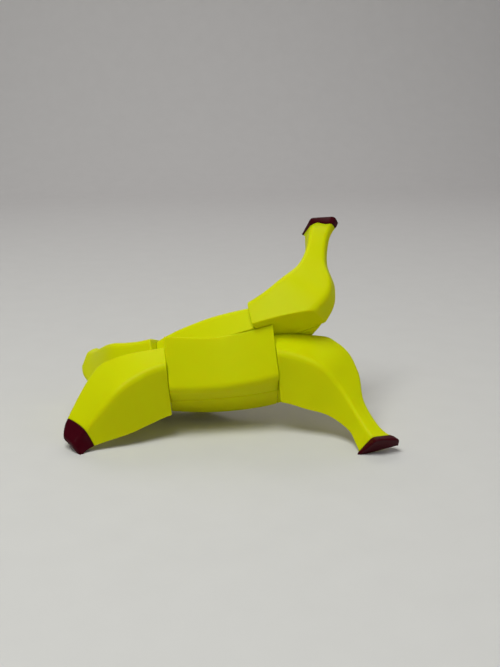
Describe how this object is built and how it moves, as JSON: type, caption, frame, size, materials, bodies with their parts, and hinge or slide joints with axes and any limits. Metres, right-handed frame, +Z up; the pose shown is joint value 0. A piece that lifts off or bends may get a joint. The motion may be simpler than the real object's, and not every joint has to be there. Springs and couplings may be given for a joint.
{
  "type": "banana-shaped twist puzzle",
  "caption": "Scrambled banana-shaped twisty puzzle: yellow quadrant pieces on a hidden core, dark tip and stem caps, rear half stopped part way through a half turn",
  "frame": {"origin": "on the surface the puzzle stands on, under the middle of its bounding box", "axes": "+Z up; +X runs along the puzzle towards the stem end; +Y points away from the side seen first, towards the half that is being turned"},
  "size_m": [0.145, 0.0998, 0.0915],
  "materials": {
    "yellow": "satin moulded plastic, slightly translucent",
    "maroon": "satin to gloss moulded plastic",
    "graphite": "plain moulded plastic, hidden"
  },
  "bodies": {
    "lower_half": {"tip_inner_left": "yellow", "tip_cap_left": "maroon", "tip_outer_right": "yellow", "middle_inner_right": "yellow", "middle_outer_right": "yellow", "stem_inner_left": "yellow", "stem_cap_left": "maroon", "stem_outer_right": "yellow", "core": "graphite"},
    "upper_half": {"tip_inner_right": "yellow", "tip_outer_left": "yellow", "middle_inner_left": "yellow", "middle_outer_left": "yellow", "stem_inner_right": "yellow", "stem_cap_right": "maroon", "stem_outer_left": "yellow"}
  },
  "joints": [
    {"name": "half_turn", "type": "hinge", "parent": "lower_half", "child": "upper_half", "pos_m": [-0.00161, 0.00147, 0.02747], "axis": [-0.0511, 0.8257, 0.5618], "continuous": true}
  ]
}
